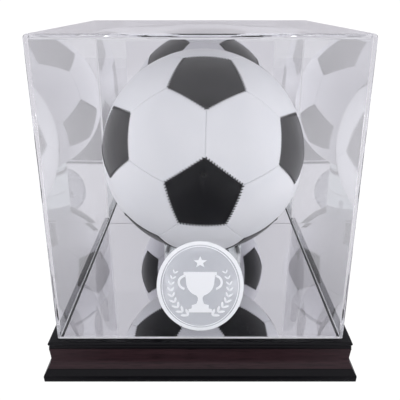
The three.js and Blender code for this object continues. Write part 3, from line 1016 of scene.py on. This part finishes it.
# %% Panel pieces
SEAM_ROLL = 1.0 * MM
PUFF = 0.5 * MM
SKIN = 3 * MM
STEPS_ON_SIDE = 12
RING_DISTANCES = (0.0, 0.06, 0.2, 0.45, 0.75, 1.1, 2.0, 4.0, 7.0, 12.0, 19.0, 28.0)


def outline_directions(corners):
    """Directions along the panel's seams, from corner to corner."""
    outline = []
    for here, there in zip(corners, corners[1:] + corners[:1]):
        for i in range(STEPS_ON_SIDE):
            outline.append(here.lerp(there, i / STEPS_ON_SIDE).normalized())
    return outline


def skin_height(distance, apothem):
    """How far the leather's face lies from the ball's centre, at a distance from the seam."""
    puffed = BALL_RADIUS - PUFF * (1 - min(distance / apothem, 1)) ** 2
    if distance >= SEAM_ROLL:
        return puffed
    return puffed - SEAM_ROLL + math.sqrt(SEAM_ROLL**2 - (SEAM_ROLL - distance) ** 2)


def build_panel(node, middle, corners, material):
    """One panel as a closed, puffed shell."""
    outline = outline_directions(corners)
    apothem = BALL_RADIUS * ((corners[0] + corners[1]).normalized() - middle).length
    distances = [d * MM for d in RING_DISTANCES if d * MM < 0.9 * apothem]
    rings = []
    for distance in distances:
        share = distance / apothem
        height = skin_height(distance, apothem)
        rings.append([d.lerp(middle, share).normalized() * height for d in outline])
    rings.reverse()
    for depth, share in ((2.2 * MM, 0.0), (SKIN, 0.002), (SKIN, 0.3), (SKIN, 0.7)):
        rings.append([d.lerp(middle, share).normalized() * (BALL_RADIUS - depth) for d in outline])
    points, faces = loft(rings)
    faces = faces[:-2]
    count = len(outline)
    for start, radius in ((0, BALL_RADIUS), (len(points) - count, BALL_RADIUS - SKIN)):
        points.append(middle * radius)
        tip = len(points) - 1
        faces += [(start + i, start + (i + 1) % count, tip) for i in range(count)]
    points = [ball_middle + p for p in points]
    return make_piece(f"leather_{node}", points, faces, [material], 70)


leather_pieces = {}
for node, middle, corners in panels:
    black = node.startswith("pentagon")
    piece = build_panel(node, middle, corners, black_leather if black else white_leather)
    leather_pieces[node] = piece
print("panel faces:", sum(len(p.data.polygons) for p in leather_pieces.values()))

# %% [markdown]
# ## Valve
# The air valve sits in the front pentagon, under its top corner. The leather is drawn into a shallow
# upright dimple there and has a small hole, cut with a boolean that is then made permanent.

# %% Valve hole
VALVE_WAY = 0.6
HOLE_RADIUS = 2.8 * MM
DIMPLE_HALF_WIDTH = 5 * MM
DIMPLE_HALF_HEIGHT = 9 * MM
DIMPLE_DEPTH = 1.9 * MM
valve_direction = pentagons[0].lerp(seam_corner(0, 1), VALVE_WAY).normalized()


def drill_valve_hole(piece):
    """Sinks a dimple into the leather and cuts the valve's hole through it."""
    place = ball_middle + valve_direction * BALL_RADIUS
    upright = (seam_corner(0, 1) - pentagons[0]).normalized()
    for vertex in piece.data.vertices:
        offset = vertex.co - place
        along = offset.dot(upright)
        beside = (offset - upright * along).length
        away = math.hypot(along / DIMPLE_HALF_HEIGHT, beside / DIMPLE_HALF_WIDTH)
        if away < 1:
            vertex.co -= valve_direction * DIMPLE_DEPTH * (1 - away**2) ** 2
    turn = Vector((0, 0, 1)).rotation_difference(valve_direction).to_matrix()
    rings = []
    for height in (BALL_RADIUS - 6 * MM, BALL_RADIUS + 3 * MM):
        centre = Vector((0, 0, height))
        flat = [centre + HOLE_RADIUS * Vector((math.cos(a), math.sin(a), 0)) for a in full_turn(32)]
        rings.append([ball_middle + turn @ p for p in flat])
    points, faces = loft(rings)
    drill = make_piece("drill", points, faces, [])
    cut = piece.modifiers.new("hole", "BOOLEAN")
    cut.operation = "DIFFERENCE"
    cut.solver = "EXACT"
    cut.object = drill
    make_permanent(piece)
    bpy.data.objects.remove(drill)


def make_permanent(piece):
    """Replaces a piece's mesh by what its modifiers make, and removes them."""
    depsgraph = bpy.context.evaluated_depsgraph_get()
    mesh = bpy.data.meshes.new_from_object(piece.evaluated_get(depsgraph))
    piece.modifiers.clear()
    piece.data = mesh


drill_valve_hole(leather_pieces["pentagon_01"])
for node, piece in leather_pieces.items():
    attach(piece, node, "ball")
dress("ball_bladder", latex)
dress("ball_valve", valve_rubber)
print("valve at", (ball_middle + valve_direction * BALL_RADIUS)[:])

# %% [markdown]
# ## Stitches
# The panels are sewn from inside, and short loops of black thread show round the twelve pentagons.
# There are hundreds, so Geometry Nodes place them: the seams are a set of curves, the curves are cut
# to the stitch spacing, and a bent strand is placed at each point, turned to face out of the ball.


# %% Geometry node helpers
def geometry_tree(name, inputs):
    """A geometry node tree with a geometry input and output and named sizes between them."""
    tree = bpy.data.node_groups.new(name, "GeometryNodeTree")
    tree.interface.new_socket("Geometry", in_out="INPUT", socket_type="NodeSocketGeometry")
    for label, kind, value in inputs:
        socket = tree.interface.new_socket(label, in_out="INPUT", socket_type=kind)
        if value is not None:
            socket.default_value = value
    tree.interface.new_socket("Geometry", in_out="OUTPUT", socket_type="NodeSocketGeometry")
    return tree, tree.nodes.new("NodeGroupInput"), tree.nodes.new("NodeGroupOutput")


def finish_tree(tree, geometry, result, material):
    """Turns instances into real faces and gives them their material."""
    real = add_node(tree, "GeometryNodeRealizeInstances")
    paint = add_node(tree, "GeometryNodeSetMaterial", {"Material": material})
    link(tree, geometry, real.inputs[0])
    link(tree, real.outputs[0], paint.inputs["Geometry"])
    link(tree, paint.outputs[0], result.inputs[0])


def run_tree(piece, tree, values):
    """Adds the tree as a modifier, sets its inputs by their identifiers and makes it permanent."""
    modifier = piece.modifiers.new(tree.name, "NODES")
    modifier.node_group = tree
    for socket in tree.interface.items_tree:
        if socket.in_out == "INPUT" and socket.name in values:
            modifier[socket.identifier] = values[socket.name]
    make_permanent(piece)


# %% Seam stitches
SEAM_POINTS = 16
STITCH_SINK = 0.0


def build_stitch_tree():
    """Bent strands of thread across every curve of the input."""
    tree, given, result = geometry_tree("seam_stitches", [
        ("Spacing", "NodeSocketFloat", 0.003),
        ("Length", "NodeSocketFloat", 0.002),
        ("Thread", "NodeSocketFloat", 0.0003),
        ("Slant", "NodeSocketFloat", 0.3),
        ("Centre", "NodeSocketVector", None),
    ])
    curves = add_node(tree, "GeometryNodeMeshToCurve")
    spaced = add_node(tree, "GeometryNodeResampleCurve", mode="LENGTH")
    link(tree, given.outputs["Geometry"], curves.inputs["Mesh"])
    link(tree, curves.outputs[0], spaced.inputs["Curve"])
    link(tree, given.outputs["Spacing"], spaced.inputs["Length"])

    half = calculate(tree, "MULTIPLY", given.outputs["Length"], 0.5)
    strand = add_node(tree, "GeometryNodeCurveQuadraticBezier", {"Resolution": 6})
    for label, factor, lift in (("Start", -1.0, -0.2), ("Middle", 0.0, 0.45), ("End", 1.0, -0.2)):
        corner = add_node(tree, "ShaderNodeCombineXYZ", {
            "Y": calculate(tree, "MULTIPLY", half, factor),
            "Z": calculate(tree, "MULTIPLY", half, lift),
        })
        link(tree, corner.outputs[0], strand.inputs[label])
    round_section = add_node(tree, "GeometryNodeCurvePrimitiveCircle", {
        "Resolution": 6,
        "Radius": given.outputs["Thread"],
    })
    swept = add_node(tree, "GeometryNodeCurveToMesh", {
        "Fill Caps": True,
        "Curve": strand.outputs[0],
        "Profile Curve": round_section.outputs[0],
    })
    smooth = add_node(tree, "GeometryNodeSetShadeSmooth", {"Geometry": swept.outputs[0]})

    position = add_node(tree, "GeometryNodeInputPosition")
    outward = add_node(tree, "ShaderNodeVectorMath", {
        0: position.outputs[0],
        1: given.outputs["Centre"],
    }, operation="SUBTRACT")
    stand = add_node(tree, "FunctionNodeAlignRotationToVector", {"Vector": outward.outputs[0]}, axis="Z")
    tangent = add_node(tree, "GeometryNodeInputTangent")
    along = add_node(tree, "FunctionNodeAlignRotationToVector", {
        "Rotation": stand.outputs[0],
        "Vector": tangent.outputs[0],
    }, axis="X", pivot_axis="Z")
    slant = add_node(tree, "FunctionNodeAxisAngleToRotation", {
        "Axis": (0, 0, 1),
        "Angle": given.outputs["Slant"],
    })
    turned = add_node(tree, "FunctionNodeRotateRotation", {
        "Rotation": along.outputs[0],
        "Rotate By": slant.outputs[0],
    }, rotation_space="LOCAL")

    placed = add_node(tree, "GeometryNodeInstanceOnPoints", {
        "Points": spaced.outputs[0],
        "Instance": smooth.outputs[0],
        "Rotation": turned.outputs[0],
    })
    finish_tree(tree, placed.outputs[0], result, thread)
    return tree


def seam_lines():
    """The seams round the twelve pentagons, each as a run of points near the top of its groove."""
    points = []
    edges = []
    depth = BALL_RADIUS - PUFF - STITCH_SINK
    for _, _, corners in panels[:12]:
        for here, there in zip(corners, corners[1:] + corners[:1]):
            start = len(points)
            for i in range(SEAM_POINTS + 1):
                share = 0.03 + 0.94 * i / SEAM_POINTS
                points.append(ball_middle + here.lerp(there, share).normalized() * depth)
            edges += [(k, k + 1) for k in range(start, len(points) - 1)]
    return points, edges


def build_stitches():
    """The seam curves, dressed with thread and made a plain mesh."""
    points, edges = seam_lines()
    mesh = bpy.data.meshes.new("stitches")
    mesh.from_pydata(points, edges, [])
    mesh.materials.append(thread)
    piece = new_object("stitches", mesh)
    values = {"Spacing": 2.9 * MM, "Length": 3.4 * MM, "Thread": 0.6 * MM}
    values |= {"Slant": 0.3, "Centre": ball_middle}
    run_tree(piece, build_stitch_tree(), values)
    return piece


stitches = build_stitches()
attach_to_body(stitches, "ball")
print("stitch faces:", len(stitches.data.polygons))

# %% [markdown]
# ## Emblem
# The emblem is an upright oval of frosted film, low on the front wall. A bold border and a thin line
# frame a plain cup with a star over it and a branch of leaves on each side. It is drawn flat and
# then laid on the leaning wall with one matrix, so that every part lies in the wall's plane.

# %% Emblem outlines
film_low, film_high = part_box("emblem")
EMBLEM_WIDE = (film_high.x - film_low.x) / 2 / MM
EMBLEM_TALL = (film_high.z - film_low.z) / 2 / MM
emblem_height = (film_low.z + film_high.z) / 2 - deck_top
BORDER = 3.4
FILM = 0.2
INK = 0.45


def oval(shrink, steps=96):
    """Points round the emblem's oval, drawn in by a width."""
    wide = EMBLEM_WIDE - shrink
    tall = EMBLEM_TALL - shrink
    return [(wide * math.cos(a), tall * math.sin(a)) for a in full_turn(steps)]


def mirrored(half):
    """A closed outline from its right half, drawn from the bottom up."""
    return half + [(-x, y) for x, y in reversed(half) if x > 0]


def cup_outline():
    """A cup on a stepped foot."""
    foot = [(0, -27), (11, -27), (11, -23.5), (8, -22.5), (8, -19), (3.6, -17.5)]
    stem = [(2.4, -14), (2.2, -11), (3.4, -8.5)]
    turns = [math.pi / 16 * i for i in range(2, 9)]
    bowl = [(13.0 * math.sin(a), 6.5 - 15.5 * math.cos(a)) for a in turns]
    lip = [(13.6, 13), (15.2, 13.6), (15.2, 16.4), (0, 16.4)]
    return mirrored(foot + stem + bowl + lip)


def handle_outline(side):
    """A curved handle at one side of the cup."""
    outer = arc(12.6, 5.5, 8.2, -75, 78, 14)
    inner = arc(12.6, 5.5, 6.0, 78, -75, 14)
    return [(side * x, y) for x, y in outer + inner]


def star_outline():
    """A five-pointed star over the cup."""
    points = []
    for i in range(10):
        radius = 6.4 if i % 2 == 0 else 2.7
        angle = math.pi / 2 + i * math.pi / 5
        points.append((radius * math.cos(angle), 26.5 + radius * math.sin(angle)))
    return points


# %% Lay the emblem on the wall
wall_up = Vector((0, lean, 1)).normalized()
wall_out = Vector((0, -1, lean)).normalized()
film_foot = Vector((0, -wall_half(emblem_height), deck_top + emblem_height)) + wall_out * 0.3 * MM
emblem_place = Matrix.Identity(4)
for column, direction in enumerate((Vector((1, 0, 0)), wall_up, wall_out)):
    emblem_place.col[column][:3] = direction * MM
emblem_place.col[3][:3] = film_foot


def flat_shape(name, outlines, thickness, material):
    """Solid shapes cut from a flat sheet, each with an outline in millimetres."""
    shape = bmesh.new()
    for outline in outlines:
        corners = [shape.verts.new((x, y, 0)) for x, y in outline]
        face = shape.faces.new(corners)
        face.normal_update()
        if face.normal.z < 0:
            face.normal_flip()
    top = bmesh.ops.extrude_face_region(shape, geom=shape.faces[:])
    raised = [v for v in top["geom"] if isinstance(v, bmesh.types.BMVert)]
    bmesh.ops.translate(shape, vec=(0, 0, thickness), verts=raised)
    bmesh.ops.triangulate(shape, faces=[f for f in shape.faces if len(f.verts) > 4])
    bmesh.ops.recalc_face_normals(shape, faces=shape.faces)
    mesh = bpy.data.meshes.new(name)
    shape.to_mesh(mesh)
    shape.free()
    mesh.materials.append(material)
    mesh.transform(emblem_place)
    piece = new_object(name, mesh)
    return piece


def flat_band(name, outer, inner, thickness, material):
    """A flat band between two ovals."""
    rings = []
    for z, outline in ((0, inner), (0, outer), (thickness, outer), (thickness, inner)):
        rings.append([Vector((x, y, z)) for x, y in outline])
    points, faces = loft(rings, capped=False)
    return make_piece(name, [emblem_place @ p for p in points], faces, [material])


film = flat_shape("emblem_film", [oval(0.2)], FILM, frosted_clear)
border = flat_band("emblem_border", oval(0), oval(BORDER), INK, frosted_white)
fine_line = flat_band("emblem_line", oval(BORDER + 1.2), oval(BORDER + 1.9), INK, frosted_white)
cup = flat_shape("emblem_cup", [cup_outline()], INK, frosted_white)
handles = flat_shape("emblem_handles", [handle_outline(-1), handle_outline(1)], INK, frosted_white)
star = flat_shape("emblem_star", [star_outline()], INK, frosted_white)
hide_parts("emblem")
print("emblem at", film_foot[:])

# %% [markdown]
# The leaves repeat along two arcs, so Geometry Nodes place them too, in pairs that slant forwards
# from the stem and shrink towards the tip.


# %% Leaves
def build_leaf_tree():
    """Pairs of flat pointed leaves along every curve of the input."""
    tree, given, result = geometry_tree("leaf_pairs", [
        ("Pairs", "NodeSocketInt", 8),
        ("Length", "NodeSocketFloat", 7.0),
        ("Width", "NodeSocketFloat", 0.4),
        ("Spread", "NodeSocketFloat", 0.6),
        ("Thickness", "NodeSocketFloat", 0.4),
    ])
    curves = add_node(tree, "GeometryNodeMeshToCurve")
    spaced = add_node(tree, "GeometryNodeResampleCurve", mode="COUNT")
    link(tree, given.outputs["Geometry"], curves.inputs["Mesh"])
    link(tree, curves.outputs[0], spaced.inputs["Curve"])
    link(tree, given.outputs["Pairs"], spaced.inputs["Count"])

    blade = add_node(tree, "GeometryNodeMeshCircle", {"Vertices": 14, "Radius": 0.5}, fill_type="NGON")
    size = add_node(tree, "ShaderNodeCombineXYZ", {
        "Z": 1.0,
        "X": given.outputs["Length"],
        "Y": calculate(tree, "MULTIPLY", given.outputs["Length"], given.outputs["Width"]),
    })
    reach = add_node(tree, "ShaderNodeCombineXYZ", {
        "X": calculate(tree, "MULTIPLY", given.outputs["Length"], 0.5),
    })
    shaped = add_node(tree, "GeometryNodeTransform", {
        "Geometry": blade.outputs[0],
        "Translation": reach.outputs[0],
        "Scale": size.outputs[0],
    })
    thick = add_node(tree, "GeometryNodeExtrudeMesh", {
        "Mesh": shaped.outputs[0],
        "Offset Scale": given.outputs["Thickness"],
    })
    back_face = add_node(tree, "GeometryNodeFlipFaces", {0: shaped.outputs[0]})
    leaf = add_node(tree, "GeometryNodeJoinGeometry")
    link(tree, thick.outputs[0], leaf.inputs[0])
    link(tree, back_face.outputs[0], leaf.inputs[0])

    tangent = add_node(tree, "GeometryNodeInputTangent")
    along = add_node(tree, "FunctionNodeAlignRotationToVector", {
        "Vector": tangent.outputs[0],
    }, axis="X", pivot_axis="Z")
    parameter = add_node(tree, "GeometryNodeSplineParameter")
    shrink = add_node(tree, "ShaderNodeMapRange", {
        "To Min": 1.0, "To Max": 0.55,
        "Value": parameter.outputs["Factor"],
    })
    both = add_node(tree, "GeometryNodeJoinGeometry")
    for side in (-1.0, 1.0):
        spread = add_node(tree, "FunctionNodeAxisAngleToRotation", {
            "Axis": (0, 0, 1),
            "Angle": calculate(tree, "MULTIPLY", given.outputs["Spread"], side),
        })
        turned = add_node(tree, "FunctionNodeRotateRotation", {
            "Rotation": along.outputs[0],
            "Rotate By": spread.outputs[0],
        }, rotation_space="LOCAL")
        placed = add_node(tree, "GeometryNodeInstanceOnPoints", {
            "Points": spaced.outputs[0],
            "Instance": leaf.outputs[0],
            "Rotation": turned.outputs[0],
            "Scale": shrink.outputs[0],
        })
        link(tree, placed.outputs[0], both.inputs[0])
    finish_tree(tree, both.outputs[0], result, frosted_white)
    return tree


def build_leaves():
    """Two stems that follow the oval, from its foot to above its middle."""
    points = []
    edges = []
    for side in (-1, 1):
        start = len(points)
        for i in range(25):
            angle = math.radians(-66 + 96 * i / 24)
            points.append((side * 27 * math.cos(angle), -1 + 32 * math.sin(angle), 0))
        edges += [(k, k + 1) for k in range(start, len(points) - 1)]
    mesh = bpy.data.meshes.new("emblem_leaves")
    mesh.from_pydata(points, edges, [])
    mesh.materials.append(frosted_white)
    piece = new_object("emblem_leaves", mesh)
    values = {"Pairs": 9, "Length": 7.5, "Width": 0.36, "Spread": 0.62, "Thickness": INK}
    run_tree(piece, build_leaf_tree(), values)
    shape = bmesh.new()
    shape.from_mesh(piece.data)
    bmesh.ops.remove_doubles(shape, verts=shape.verts, dist=1e-5)
    shape.to_mesh(piece.data)
    shape.free()
    piece.data.transform(emblem_place)
    return piece


leaves = build_leaves()
for piece in (film, border, fine_line, cup, handles, star, leaves):
    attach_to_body(piece, "cover")
print("leaf faces:", len(leaves.data.polygons))
